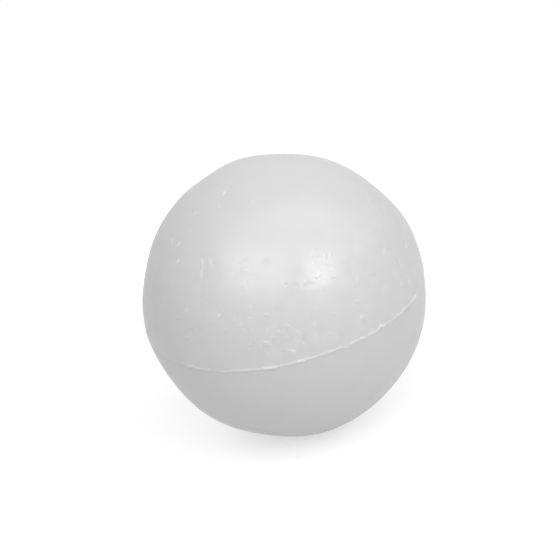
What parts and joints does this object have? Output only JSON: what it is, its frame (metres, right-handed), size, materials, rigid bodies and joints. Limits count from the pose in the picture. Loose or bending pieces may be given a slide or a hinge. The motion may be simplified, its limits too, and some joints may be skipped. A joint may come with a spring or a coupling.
{
  "type": "polystyrene ball",
  "caption": "Solid white expanded polystyrene craft ball with a thin raised parting line round its middle.",
  "frame": {"origin": "centre of the ball", "axes": "+Z normal to the plane of the parting line, towards the half that shows the bead marks; X and Y lie in that plane"},
  "size_m": [0.1008, 0.1008, 0.1],
  "materials": {
    "foam": "satin white expanded foam, faint bead marks"
  },
  "bodies": {
    "root": {"ball": "foam"}
  },
  "joints": []
}
